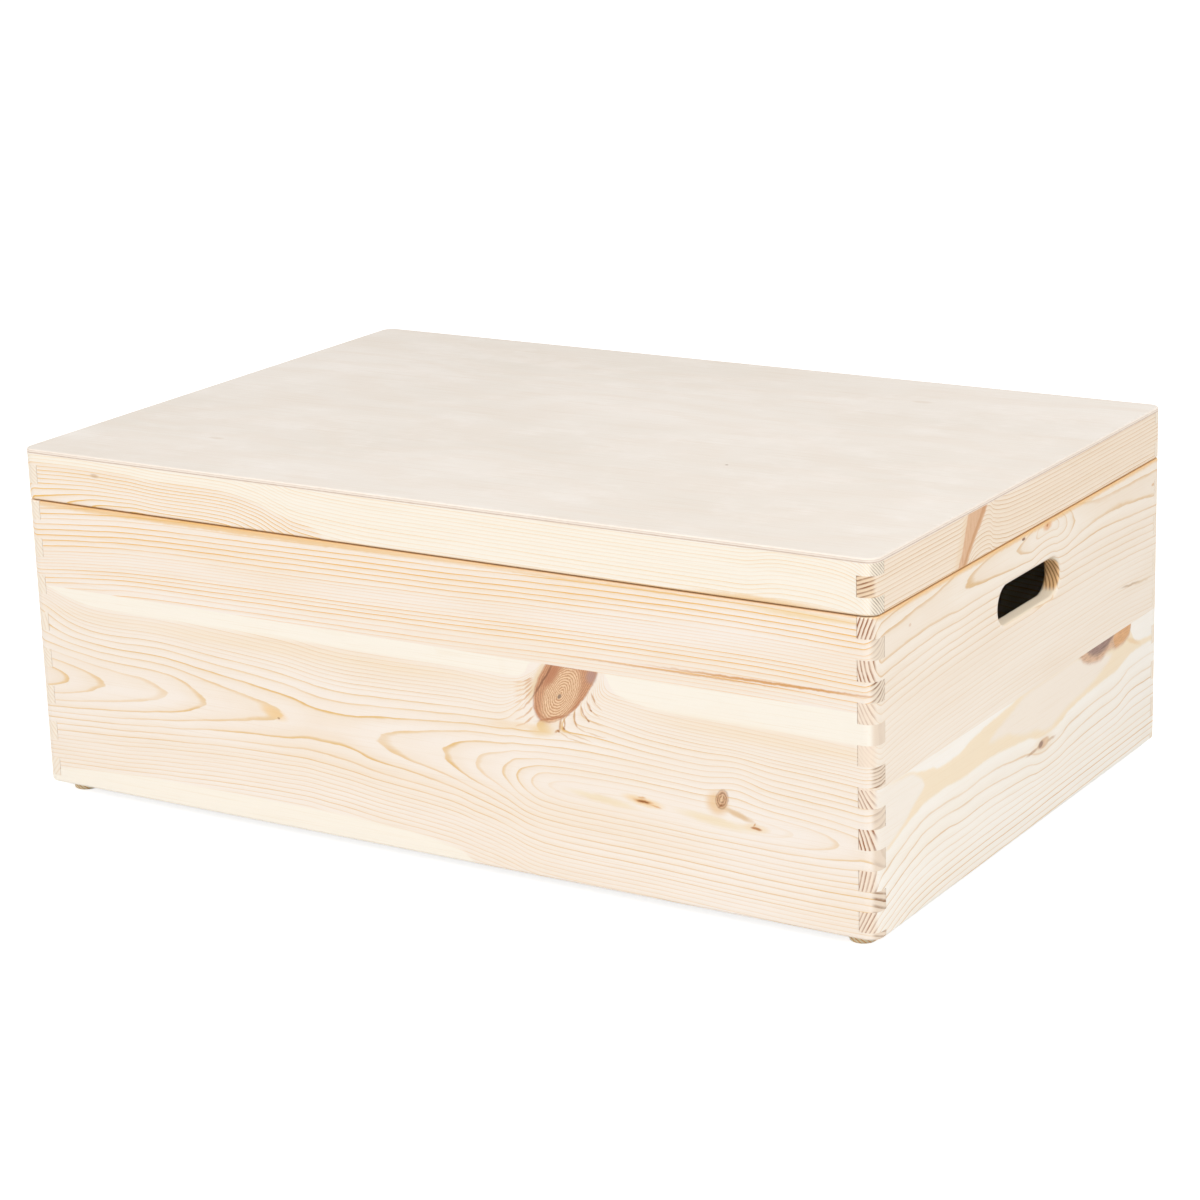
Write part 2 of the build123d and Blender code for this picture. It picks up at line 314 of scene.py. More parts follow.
def long_grain(u, v, w, part, strength, wood):
    """Colour and relief of the long grain, with its lines, sapwood, zones and marks."""
    seed = wood["seed"]
    crisp = wood.get("crisp", 0.8)
    late = ramp(part, 0.76, 0.93) * crisp + ramp(part, 0.15, 0.9) * (1.0 - crisp)
    late = late * ramp(part, 1.0, wood.get("edge", 0.96))
    patchy = ramp(noise(vector(u / 120, v / 9, w / 30 + seed + 5.0)), -0.7, 0.35) * 0.6 + 0.4
    lines = late * strength * patchy * wood["contrast"]
    if "up" in wood:
        lines = lines * curve(v, wood["up"])

    clouds = noise(vector(u / 160, v / 30, w / 40 + seed))
    pale, warm = wood.get("base", (PALE, WARM))
    face = blend(ramp(clouds, -0.5, 0.6), pale, warm)
    for edge, direction in wood.get("sap", []):
        inside = ramp((v - curve(u, edge)) * direction, -1.5, 1.5)
        lines = lines * (1.0 - inside * wood["sap_clear"])
        face = blend(inside, face, SAP)
    face = blend(lines.math("MINIMUM", 1.0), face, wood.get("late", LATE))

    spot = shaken(u, v, w / 9 + seed, 5.0, 1.6)
    face = patch(face, spot, wood.get("zones", []))
    face = paint(face, spot, wood.get("marks", []))
    fibre = noise(vector(u / 9, v / 0.55, w / 0.55 + seed), 3.0, 0.6)
    hair = noise(vector(u / 70, v / 0.75, w / 0.75 + seed))
    face = shade(face, ramp(fibre, 0.1, 0.9) * 0.35, FIBRE_TINT)
    face = shade(face, ramp(hair, 0.0, 0.6) * 0.3, HAIR_TINT)
    return face, lines * 0.5 + fibre * 0.35


def paint_seam_bounce_light(face, v, w, up):
    """Paint the light bounced in the lid seam as an orange-brown glow: along the edges of the faces, and on
    the outer strip of the rims.
    """
    near = ramp((v - SEAM).math("ABSOLUTE"), *SEAM_BAND)
    level = ramp(up.math("ABSOLUTE"), 0.6, 0.9)
    face = blend(near * (1.0 - level) * 0.55, face, SEAM_EDGE_BOUNCE_LIGHT)
    return blend(near * level * ramp(w, *SEAM_BAND_IN) * 0.8, face, SEAM_RIM_BOUNCE_LIGHT)


def cut_grain(u, v, w, band, strength, wood):
    """Colour of the end grain."""
    seed = wood["seed"]
    pale, dark, contrast = wood["end"]
    specks = noise(vector(u / 4, v / 0.5, w / 0.5 + seed))
    uneven = ramp(noise(vector(u / 12, v / 5, w / 5 + seed)), -0.6, 0.2) * 0.5 + 0.5
    lines = band * uneven * (strength * 0.8 + 0.2) * contrast
    if "cuts" in wood:
        lines = lines * curve(v, wood["cuts"])
    end = blend(lines.math("MINIMUM", 1.0), pale, dark)
    return shade(end, ramp(specks, 0.0, 0.9) * 0.3, END_SPECK_TINT)


def slot_faces(u, v, normal):
    """1 on the faces inside the right wall's hand slot, else 0."""
    along = ramp(u.math("ABSOLUTE"), *SLOT_HALF_LENGTH)
    across = ramp((v - SLOT_V).math("ABSOLUTE"), *SLOT_HALF_HEIGHT)
    return along * across * ramp(normal[0].math("ABSOLUTE"), 0.95, 0.7)


def pine(name, side, wood):
    """Sanded pine with this board's own figure."""
    material, tree, shader = new_material(name, PALE, WOOD_ROUGHNESS)
    shader.inputs["Specular IOR Level"].default_value = WOOD_SPECULAR
    x, y, z, normal = places(tree)
    u, w, along = on_board(side, x, y, normal)
    v = z - BASE_Z
    part, strength = growth(u, v, w, wood)
    face, height = long_grain(u, v, w, part, strength, wood)
    # Painted bounce light: the orange-brown glow where lid and walls meet at the seam
    face = paint_seam_bounce_light(face, v, w, normal[2])
    band = ramp(part, 0.4, 0.82) * ramp(part, 1.0, 0.93)
    end = cut_grain(u, v, w, band, strength, wood)
    # In the hand slot the floor and ceiling are painted lighter and warmer, painted light for the shaded
    # recess, and the end grain there gets its own warmer colours
    if "slot" in wood:
        inner = slot_faces(u, v, normal)
        slot_painted_light, slot_pale, slot_dark = wood["slot"]
        end = blend(inner, end, blend(band * 0.8, slot_pale, slot_dark))
        face = blend(inner * ramp(w, 0.5, 1.5), face, slot_painted_light)
    end_grain = ramp(along.math("ABSOLUTE"), 0.45, 0.8)
    finish_surface(tree, shader, blend(end_grain, face, end), height, WOOD_RELIEF)
    return material


# End grain: its pale colour, its dark one and its contrast
RIGHT_END = (rgb(248, 230, 210), rgb(150, 88, 42), 1.2)
FRONT_END = (rgb(238, 220, 200), rgb(158, 120, 86), 0.75)
LEFT_END = (rgb(250, 238, 221), rgb(236, 212, 184), 0.7)

RIGHT_LATE = rgb(226, 188, 136)
RIGHT_BASE = (rgb(251, 240, 226), rgb(248, 234, 217))

# Knots and marks of the front's lower board, each a soft oval or a streak. Left of the big knot strokes rise,
# and right of it lie hooks with thin tails.
HOOK = rgb(200, 146, 92)
HOOK_TAIL = rgb(224, 186, 138)
RISING = [(91.5, 8), (95.5, 10), (100.5, 11), (106, 9.5), (109.8, 8), (113, 7), (116, 5.5), (118.6, 4)]
BIG_KNOT = [
    streak(46, 90.5, 80, 93, 2.2, 0.5, rgb(245, 218, 180)),
    (83, 91.5, 7.5, 3.4, 8, 0.6, 0.75, rgb(242, 214, 168)),
    streak(76.0, 110, 86.5, 133, 2.6, 0.7, rgb(236, 208, 164)),
    *(streak(65, v, 72, v + rise * 0.35, 0.5, 0.5, rgb(230, 186, 128)) for v, rise in RISING),
    *(streak(71.5, v + rise * 0.33, 77.5, v + rise, 0.55, 0.65, rgb(214, 160, 100)) for v, rise in RISING),
    (101.4, 126.2, 34, 15.4, 53.5, 0.05, 1.0, rgb(220, 168, 130), 14, rgb(160, 100, 66), 0.65),
    (97, 116, 20, 9.6, 57, 0.2, 0.9, rgb(198, 142, 102), 10, rgb(252, 222, 184), 1.0),
    (91, 126.5, 8.5, 3.4, 57, 0.5, 0.75, rgb(188, 126, 92)),
    streak(78, 112, 92, 133, 0.6, 0.8, rgb(138, 94, 68)),
    streak(78.5, 105, 83, 98, 0.9, 0.6, rgb(190, 124, 86)),
    streak(82, 97.6, 101, 103.5, 0.8, 0.7, rgb(182, 116, 76)),
    streak(101, 103.5, 113, 117, 0.7, 0.6, rgb(190, 130, 92)),
    (118, 129.5, 4.5, 3.2, 60, 0.5, 0.75, rgb(182, 146, 136)),
    (96, 114.2, 1.8, 1.0, 50, 0.4, 0.9, rgb(146, 122, 104)),
    *(streak(*ends, 0.6, 0.75, HOOK) for ends in (
        (96.5, 100.8, 95, 93.4), (95.2, 93.6, 92, 91.6), (98.4, 102, 99, 96.6), (99, 97, 97.6, 94.4),
        (105.9, 106.8, 105.6, 100.6), (105.6, 101, 107.4, 97.4), (110.4, 111, 112, 105.4),
        (112, 105.8, 115.5, 102.4), (114.6, 113.6, 117, 108.6), (118, 119, 120.2, 113.4),
    )),
    *(streak(*ends, 0.42, 0.6, HOOK_TAIL) for ends in (
        (95, 92.9, 101, 89.8), (101, 89.8, 114, 87.8), (97.8, 95, 103, 92.3), (103, 92.3, 116, 90.1),
        (107.4, 97.4, 113, 95), (113, 95, 126, 93.6), (115.5, 102.4, 124, 100.7),
        (117, 108.7, 122.5, 105.4), (120.2, 113.4, 124.5, 109.6),
    )),
    *((u, v, 0.9, 0.6, -30, 0.4, 0.8, rgb(176, 120, 70)) for u, v in (
        (94.6, 92.8), (98.4, 95.2), (115.4, 102.5), (117, 108.8),
    )),
]
SMALL_KNOTS = [
    streak(176, 57, 219, 53, 2.6, 0.6, RESIN),
    streak(103, 57.5, 143, 54, 2.2, 0.6, RESIN),
    (199.5, 66, 6.5, 6.5, 0, 0.5, 0.7, rgb(236, 194, 138)),
    streak(204, 64, 222, 58.5, 1.6, 0.75, rgb(222, 184, 132)),
    (202.6, 68.8, 5.8, 4.0, 72, 0.25, 0.9, rgb(226, 184, 144), 3, rgb(140, 84, 46), 0.9),
    streak(201.6, 66.5, 203.4, 72, 0.5, 0.6, rgb(246, 218, 180)),
    streak(200.4, 63.6, 203, 66, 0.5, 0.6, rgb(150, 94, 54)),
    (150.5, 59, 12, 2.4, -6, 0.5, 0.7, rgb(244, 212, 158)),
    (150.5, 59, 5.6, 1.2, -2, 0.5, 0.85, rgb(216, 152, 84)),
    (150.5, 59, 3.8, 0.6, 0, 0.4, 0.9, rgb(146, 88, 44)),
    (149.5, 61.2, 2.4, 0.5, 0, 0.5, 0.6, rgb(222, 162, 98)),
    (159, 57.2, 3.4, 0.5, -8, 0.5, 0.7, rgb(226, 168, 102)),
    (224, 55, 8, 2.2, 0, 0.5, 0.5, rgb(242, 212, 162)),
    (224.5, 54.8, 3.4, 0.9, 0, 0.4, 0.9, rgb(186, 122, 64)),
    (223.5, 56.8, 1.2, 0.5, 60, 0.4, 0.7, rgb(214, 156, 96)),
    (-113, 73.5, 9, 3.4, -15, 0.5, 0.7, rgb(246, 210, 156)),
    (-109, 70.5, 0.9, 0.7, 0, 0.3, 0.8, SPECK),
]
WARM_BANDS = [
    (-90, 116.5, 190, 5, 0, 0.6, 0.35, rgb(248, 226, 194)),
    (230, 110, 80, 5, -1, 0.6, 0.35, rgb(248, 226, 194)),
]

# Each board's side and figure. Its rings lie round a pith that runs behind its face: "pith" is the pith's
# height v and "depth" its distance behind the face, both along u, and "count" is the number of rings out to
# a distance from it. "settled" holds a plainer pith and depth, which apply below the first of its two
# heights, while above the second the board's own do. "spread" stretches the heights over the pith, "mounds"
# and "bends" push the rings up or down round a place, and "inward" is how many rings a millimetre inwards
# adds. "bold" makes single rings stronger or fainter, "up" the lines at a height, and "cuts" the end grain at
# a height. "sap" is the edge of a sapwood band and its side, 1 for above and -1 for below, and "sap_clear" is
# how much of the lines the sapwood takes away.
BOARDS = {
    "front_wall_lower_board": ("front", {
        "seed": 1.0, "contrast": 0.95, "inward": -0.1, "end": FRONT_END, "sap_clear": 0.95,
        "cuts": [(4, 1.3), (16.8, 1.3), (29, 1.3), (41.2, 0.4), (53.4, 0.4), (65.6, 0.5), (77.8, 0.5),
                 (90, 1.3), (102.2, 1.3), (114.4, 0.15), (140, 0.15)],
        "pith": [(-300, 72), (-250, 72), (-190, 74), (-108, 73), (-70, 70), (-33, 68), (13, 67), (37, 65),
                 (60, 62), (84, 59), (150, 58), (205, 56), (290, 53)],
        "depth": [(-300, 10), (-276, 13), (-246, 16.6), (-195, 20.2), (-162, 23.8), (-106, 27.4),
                  (-72, 29.3), (-37, 27.4), (10, 23.8), (34, 20.2), (54, 16.6), (64, 13), (74, 9.4),
                  (86, 5.8), (115, 2), (150, 0.5), (190, 1.5), (230, 4), (260, 7), (290, 11)],
        "count": [(0, 0.39), (10, 3.17), (20, 5.94), (30, 8.72), (34.5, 9.9), (38.5, 11), (41, 12),
                  (43, 13), (60, 21), (120, 46)],
        "spread": [(-80, -75), (-57.5, -54), (-42.5, -42), (-30, -31), (-20, -20.3), (0, 0), (60, 60)],
        "mounds": [(76, 91, 15, 62, 0.72, 1.1)],
        "bends": [(-300, 122, 26, 22, 12), (212, 80, 15, 15, 4), (112, 106, 34, 20, 6)],
        "bold": [(0, 0.5), (1, 0.15), (3, 0.6), (5, 1.0), (60, 1.0)],
        "sap": [([(-300, 140), (-290, 133), (-280, 129), (-270, 126), (-260, 124), (-250, 122.5),
                  (-200, 122), (60, 122), (72, 125), (82, 134), (122, 134), (130, 125), (140, 119),
                  (150, 117), (165, 115), (300, 114)], 1),
                ([(-300, 9), (-280, 11), (-240, 14), (-200, 15.5), (-60, 15), (20, 8), (60, -5), (300, -5)],
                 -1)],
        "marks": WARM_BANDS + SMALL_KNOTS + BIG_KNOT,
    }),
    "front_wall_upper_board": ("front", {
        "seed": 2.0, "contrast": 1.4, "inward": -0.3, "late": rgb(240, 188, 104),
        "end": (rgb(238, 222, 202), rgb(136, 90, 56), 0.85),
        "pith": [(-300, -180.5), (-250, -176), (-200, -173), (-100, -171.5), (0, -170), (100, -167.5),
                 (200, -166.5), (300, -169)],
        "depth": [(-300, 5), (300, 5)],
        "cuts": [(138, 1.25), (151, 1.25), (163.2, 0.5), (190, 0.5)],
        "count": [(0, 0), (300, 97), (306, 99.5), (312, 101.3), (317, 102.8), (322, 104.7), (326, 106.5),
                  (331, 109), (334.8, 111), (338.5, 112), (343, 113.3), (349, 115), (355, 116.7),
                  (362, 118.7), (372, 121)],
        "bold": [(98, 0.7), (100, 0.7), (102, 1.0), (103, 1.1), (105, 1.0), (106, 0.65), (109, 0.65),
                 (111, 0.9), (112, 1.3), (116, 1.4), (117, 0.7), (118, 1.3), (122, 1.0)],
        # The first three marks are painted bounce light: the orange band just under the lid seam
        "marks": [streak(-340, 186, 60, 186.3, 1.8, 0.75, SEAM_BOUNCE_LIGHT),
                  streak(60, 185.4, 228, 186, 0.7, 0.6, SEAM_BOUNCE_LIGHT),
                  streak(225, 184.4, 298, 184, 2.0, 0.6, rgb(245, 214, 158)),
                  streak(170, 141.6, 304, 143, 0.75, 0.85, HONEY),
                  streak(110, 139.6, 240, 140.4, 0.5, 0.6, HONEY)],
    }),
    "lid_front_rail": ("front", {
        "seed": 3.0, "contrast": 1.9, "inward": 0.45, "end": (rgb(245, 233, 214), rgb(128, 102, 74), 0.8),
        "sap_clear": 0.66, "late": rgb(238, 188, 96),
        "pith": [(-300, 186), (-280, 186), (-225, 183), (-175, 180), (-150, 180), (-120, 178), (-100, 174),
                 (-80, 171), (0, 170), (215, 168), (245, 171), (270, 170), (300, 158)],
        "depth": [(-300, 15), (-280, 14), (-225, 7), (-175, 2), (-150, 4), (-120, 10), (-100, 15),
                  (-80, 18), (0, 22), (300, 22)],
        "count": [(0, 0.1), (30, 13.7), (80, 40)],
        "sap": [([(-300, 213), (-220, 212), (-200, 210.5), (-150, 211), (-140, 210), (-120, 206),
                  (-100, 200), (-80, 196), (-60, 186), (-40, 180), (300, 180)], 1)],
        "marks": [(-242, 209, 3, 1.2, 0, 0.5, 0.6, rgb(206, 172, 138)),
                  # This streak is painted bounce light: the orange glow just above the lid seam
                  streak(192, 189.8, 265, 189.8, 1.6, 0.6, SEAM_BOUNCE_LIGHT)],
    }),
    "right_wall_upper_board": ("right", {
        "seed": 4.0, "contrast": 1.0, "inward": 0.42, "end": RIGHT_END, "late": RIGHT_LATE,
        "base": RIGHT_BASE,
        # The slot's first colour is painted light for its shaded floor and ceiling; the other two colour its
        # end grain
        "slot": (rgb(255, 240, 216), rgb(248, 206, 152), rgb(146, 88, 44)),
        "pith": [(-200, 167), (-188, 169), (-160, 171.5), (-140, 173), (-100, 176), (-60, 178.5), (0, 180),
                 (25, 184), (40, 182), (62, 179), (80, 177.5), (100, 177), (150, 175), (200, 172)],
        "depth": [(-200, 16.5), (-188, 15.4), (-140, 15.4), (-115, 14.7), (-93, 12.6), (-50, 10),
                  (-22, 8.4), (8, 4.2), (25, 1), (42, 4.2), (54, 8.4), (65, 12.6), (82, 15.2), (110, 16.2),
                  (150, 16), (200, 15)],
        "count": [(0, 0), (12.6, 3), (17.5, 4), (22, 5), (26.5, 6), (31, 7), (35, 8), (39.5, 9), (44, 10),
                  (90, 25)],
        "settled": ([(-200, 167), (-160, 171.5), (-100, 175), (0, 177), (100, 177), (200, 173)],
                    14, 120, 160),
        "cuts": [(88, 0.1), (114.4, 0.1), (126.6, 0.4), (138.8, 0.4), (151, 1.0), (190, 1.0)],
        "up": [(89, 0.45), (122, 0.45), (140, 0.7), (160, 0.95), (188, 1.0)],
        # The first mark is painted bounce light: the orange band just under the lid seam
        "marks": [streak(-240, 186.6, 240, 186.6, 1.3, 0.6, SEAM_BOUNCE_LIGHT),
                  (25, 184.6, 5.5, 2.3, 0, 0.5, 0.7, rgb(232, 172, 110)),
                  (24.5, 185.2, 1.4, 0.8, 0, 0.4, 0.8, rgb(190, 122, 70)),
                  (-9.2, 185, 2.2, 0.8, 0, 0.4, 0.9, rgb(126, 80, 50)),
                  streak(140, 116, 166, 113.2, 0.7, 0.7, rgb(196, 164, 128)),
                  streak(160, 113, 186, 111.6, 0.8, 0.5, rgb(224, 196, 158)),
                  (187, 172, 2.4, 1.0, 0, 0.5, 0.7, rgb(222, 178, 126)),
                  (-158, 173, 1.5, 0.9, 0, 0.5, 0.6, rgb(222, 190, 158))],
    }),
    "right_wall_lower_board": ("right", {
        "seed": 5.0, "contrast": 1.15, "inward": -0.42, "end": RIGHT_END, "late": RIGHT_LATE, "crisp": 0.9,
        "edge": 0.86, "base": (rgb(255, 249, 240), rgb(253, 245, 233)),
        "pith": [(-200, 46), (-185, 50.5), (-165, 57), (-150, 61), (-135, 63.5), (-115, 64), (-90, 62.5),
                 (-60, 63.5), (-40, 62.5), (-20, 60.5), (0, 58.5), (28, 54), (60, 59), (100, 62.5),
                 (130, 63.5), (165, 69), (200, 68)],
        "settled": ([(-200, 44), (-185, 48.5), (-165, 54.5), (-150, 57.5), (-120, 60), (-60, 61),
                     (0, 61.5), (100, 63), (200, 64)], 1, 14, 50),
        "depth": [(-200, 1), (200, 1)],
        "count": [(0, 0.05), (10.5, 1), (18.3, 2), (25.4, 3), (44, 7), (61, 11.2)],
        "cuts": [(4, 0.65), (41.2, 0.7), (53.4, 1.0), (65.6, 1.0), (77.8, 0.6), (92, 0.6)],
        "up": [(0, 1.45), (16, 1.3), (32, 1.0), (50, 0.9), (60, 0.3), (64, 0.0), (89, 0.0)],
        "bends": [(22, 44, 16, 7, -1.5)],
        "zones": [("u", [(-185, 50.5), (-165, 57), (-150, 61), (-135, 63.5), (-115, 64), (-90, 62.5),
                         (-60, 63.5), (-40, 62.5), (-20, 60.5), (0, 58.5), (28, 53.8), (60, 59),
                         (100, 62.5), (130, 63.5), (165, 69), (200, 68)],
                   [(-200, 86), (-178, 88.5), (-163, 88), (-150, 84.5), (-130, 81), (-115, 78.2),
                    (-100, 78.5), (-80, 82), (-60, 84.5), (-30, 87), (0, 90), (100, 92), (150, 86),
                    (165, 74), (200, 71)], 1.2, 0.85, rgb(249, 229, 197)),
                  ("u", [(-200, 48), (-185, 52.5), (-165, 60), (-155, 66), (-146, 70), (-140, 74),
                         (-130, 80), (200, 90)],
                   [(-200, 92), (-180, 88), (-160, 86.5), (-150, 82.5), (-143, 78), (-140, 74), (-130, 68),
                    (200, 60)], 2.0, 0.85, rgb(251, 243, 233)),
                  ("u", [(-60, 77), (-52, 72.5), (-30, 70.5), (-20, 67), (-10, 64), (0, 62), (10, 61),
                         (20, 57.5), (28, 56), (40, 58.5), (60, 62.5), (80, 64.5), (100, 68), (120, 74),
                         (135, 82)],
                   [(-60, 71), (-52, 75), (-45, 77.5), (-30, 81), (-15, 85), (0, 88), (60, 89), (90, 84),
                    (120, 78), (135, 72)], 2.5, 0.7, rgb(250, 240, 230)),
                  ("u", [(70, 91), (76, 87), (84, 82), (96, 79), (106, 78), (120, 80.5), (134, 78.5),
                         (150, 81), (156, 92)], [(70, 90), (156, 90)],
                   2.2, 0.95, rgb(226, 188, 156), rgb(176, 136, 112), 0.9),
                  ("u", [(84, 91), (90, 86), (106, 82.5), (124, 87), (130, 91)], [(84, 90), (130, 90)],
                   2.4, 0.9, rgb(158, 130, 122), rgb(110, 84, 78), 0.9),
                  ("u", [(126, 88), (132, 79.5), (150, 82), (155, 91)], [(126, 86), (134, 90), (155, 90)],
                   2.0, 0.75, rgb(232, 178, 122), rgb(206, 148, 98), 0.9)],
        "marks": [(20, 49, 14, 5, 3, 0.5, 0.35, rgb(242, 216, 180)),
                  (21, 49.3, 8, 3, 4, 0.25, 0.85, rgb(220, 184, 150)),
                  (26, 49.3, 3.0, 1.6, 4, 0.5, 0.7, rgb(236, 208, 176)),
                  (17.5, 49.4, 3.2, 2.0, 10, 0.4, 0.85, rgb(150, 120, 106)),
                  streak(-2, 47.8, 14, 48.6, 0.9, 0.75, rgb(196, 156, 120)),
                  streak(27, 48.8, 38, 49, 0.9, 0.6, rgb(206, 168, 130)),
                  streak(148, 80, 168, 72, 1.6, 0.6, rgb(240, 206, 158))],
    }),
    "lid_right_rail": ("right", {
        "seed": 6.0, "contrast": 1.1, "inward": 0.14, "end": (rgb(240, 214, 182), rgb(146, 90, 44), 1.0),
        "pith": [(-200, 100), (-98, 100), (-84, 104), (-70, 109.5), (-62, 110), (-52, 106.5), (-40, 103.5),
                 (-20, 101.5), (20, 100.5), (200, 101)],
        "depth": [(-200, 5), (200, 5)],
        "count": [(0, 0), (90, 36), (130, 52)],
        "late": rgb(216, 176, 124), "base": (rgb(250, 235, 217), rgb(247, 230, 209)),
        "zones": [("v", [(180, -104), (192, -101), (204, -95), (217, -89), (230, -84)],
                   [(180, -94), (230, -58)], 3.0, 0.5, rgb(240, 212, 178)),
                  ("v", [(180, -101), (189, -97), (200, -91), (217, -84.5), (230, -80)],
                   [(180, -92), (189, -86), (197, -79), (203, -73.5), (208, -67.5), (217, -59.5),
                    (230, -50)], 1.0, 0.95, rgb(230, 190, 154), rgb(206, 156, 116), 0.8),
                  ("v", [(180, -95), (189, -91), (203, -79), (217, -66), (230, -56)],
                   [(180, -92), (189, -88), (203, -75), (217, -61), (230, -51)],
                   1.2, 0.7, rgb(204, 150, 106))],
    }),
    "back_wall_lower_board": ("back", {
        "seed": 7.0, "contrast": 1.0, "end": LEFT_END,
        "pith": [(-300, 40), (-180, 50), (-60, 49), (60, 60), (170, 57), (300, 48)],
        "depth": [(-300, 30), (-120, 17), (-30, 7), (30, 1), (90, 8), (190, 19), (300, 34)],
        "bends": [(-150, 96, 30, 26, 7), (110, 84, 44, 16, 4), (-40, 34, 36, 14, -3)],
        "count": [(0, 0.2), (40, 11), (120, 40)],
        "marks": [(-150, 96, 16, 11, 30, 0.3, 0.5, rgb(240, 214, 176)),
                  (-150, 96, 10, 7, 30, 0.12, 0.95, RUST, 5, UMBER, 0.6),
                  (-150, 96, 5, 3.4, 30, 0.4, 0.8, TAN)],
    }),
    "back_wall_upper_board": ("back", {
        "seed": 8.0, "contrast": 1.0, "end": LEFT_END,
        "pith": [(-300, 60), (0, 66), (300, 58)],
        "depth": [(-300, 9), (300, 9)],
        "count": [(0, 0), (60, 18), (140, 46)],
    }),
    "left_wall_lower_board": ("left", {
        "seed": 9.0, "contrast": 1.0, "end": LEFT_END,
        "pith": [(-200, 30), (0, 38), (200, 26)],
        "depth": [(-200, 12), (-30, 26), (90, 14), (200, 4)],
        "count": [(0, 0.2), (40, 11), (120, 40)],
        "marks": [(60, 62, 11, 7, -10, 0.4, 0.5, rgb(240, 214, 176)),
                  (60, 62, 7, 4.5, -10, 0.15, 0.95, RUST, 4, UMBER, 0.6),
                  (60, 62, 3.5, 2, -10, 0.4, 0.8, TAN)],
    }),
    "left_wall_upper_board": ("left", {
        "seed": 10.0, "contrast": 1.0, "end": LEFT_END,
        "pith": [(-200, 90), (-60, 96), (100, 92), (200, 98)],
        "depth": [(-200, 20), (-80, 9), (60, 20), (200, 30)],
        "count": [(0, 0.2), (40, 10), (120, 36)],
    }),
    "lid_back_rail": ("back", {
        "seed": 11.0, "contrast": 1.0, "end": LEFT_END,
        "pith": [(-300, 170), (0, 172), (300, 168)],
        "depth": [(-300, 8), (300, 8)],
        "count": [(0, 0), (60, 22)],
    }),
    "lid_left_rail": ("left", {
        "seed": 12.0, "contrast": 1.0, "end": LEFT_END,
        "pith": [(-200, 150), (0, 152), (200, 149)],
        "depth": [(-200, 8), (200, 8)],
        "count": [(0, 0), (80, 30)],
    }),
}


# Plywood, feet and metal

TOP_MARKS = [
    (125, -52, 1.0, 0.8, 0, 0.4, 0.8, rgb(150, 120, 96)),
    (-202, -127, 5, 2, 0, 0.5, 0.4, rgb(214, 196, 176)),
    (158, 145, 6, 3, 0, 0.5, 0.35, rgb(216, 198, 178)),
]


def plywood(node, seed, marks):
    """Birch plywood: a cloudy face with faint figure along X, and thin layers in its edge."""
    material, tree, shader = new_material(node + "_plywood", rgb(238, 228, 214), 0.6)
    shader.inputs["Specular IOR Level"].default_value = WOOD_SPECULAR
    low_z, high_z = (corner.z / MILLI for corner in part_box(node))
    x, y, z, normal = places(tree)
    v = y - MID_Y
    clouds = noise(vector(x / 170, v / 110, z / 100 + seed), 3.0, 0.55)
    streaky = noise(vector(x / 120, v / 6, z / 100 + seed), 3.0, 0.6)
    fibre = noise(vector(x / 12, v / 0.8, z / 4 + seed), 3.0, 0.6)
    swirl = noise(vector(x / 150, v / 100, z / 100 + seed), 1.5)
    blotch = noise(vector(x / 45, v / 32, z / 100 + seed), 4.0, 0.65)
    figure = (v / 7 + swirl * 16.0 + blotch * 1.5).math("SINE") * 0.5 + 0.5
    face = blend(ramp(clouds, -0.5, 0.5), rgb(237, 229, 220), rgb(230, 221, 210))
    face = blend(ramp(figure, 0.3, 1.0) * 0.3, face, rgb(231, 219, 206))
    face = blend(ramp(blotch, -0.1, 0.5) * 0.45, face, rgb(243, 236, 229))
    face = blend(ramp(streaky, 0.0, 0.8) * 0.4, face, rgb(231, 218, 205))
    face = paint(face, shaken(x, v, z / 9 + seed, 6.0, 1.2), marks)
    hair = noise(vector(x / 60, v / 1.1, z / 4 + seed), 2.0, 0.6)
    face = shade(face, ramp(hair, -0.1, 0.6) * 0.4, rgb(243, 234, 224))
    face = shade(face, ramp(fibre, 0.0, 0.9) * 0.25, rgb(243, 235, 225))
    layer = (z - low_z) / (high_z - low_z)
    drift = noise(vector(x / 90, v / 90, z / 200 + seed), 1.0)
    grit = noise(vector(x / 5, v / 5, z / 0.5 + seed), 3.0, 0.7)
    edge = blend(ramp(grit, -0.4, 0.8), rgb(250, 239, 226), rgb(240, 224, 208))
    for level, amount in ((0.2, 0.75), (0.62, 0.3)):
        line = ramp((layer - level + drift * 0.08).math("ABSOLUTE"), 0.16, 0.06)
        edge = blend(line * (ramp(grit, -0.9, 0.6) * 0.6 + 0.4) * amount, edge, rgb(186, 152, 130))
    tears = ramp(grit, 0.35, 0.7) * ramp((layer - 0.3).math("ABSOLUTE"), 0.25, 0.1)
    edge = blend(tears * 0.4, edge, rgb(150, 116, 92))
    flat = ramp(normal[2].math("ABSOLUTE"), 0.4, 0.95)
    finish_surface(tree, shader, blend(flat, edge, face), fibre, WOOD_RELIEF)
    return material


def foot_wood(name):
    """The feet: short lengths of pine rod, cut with the grain at a slant."""
    material, tree, shader = new_material(name, rgb(236, 206, 162), WOOD_ROUGHNESS)
    shader.inputs["Specular IOR Level"].default_value = WOOD_SPECULAR
    x, y, z, _ = places(tree)
    slant = (x * 0.6 + y * 0.35 + z * 0.9) / 2.0
    wobble = noise(vector(x / 8, y / 8, z / 8))
    part = (slant + wobble * 0.3).math("FRACT")
    late = ramp(part, 0.4, 0.92) * ramp(part, 1.0, 0.94)
    colour = blend(late, rgb(255, 242, 208), rgb(238, 168, 86))
    finish_surface(tree, shader, colour, late, 0.05)
    return material


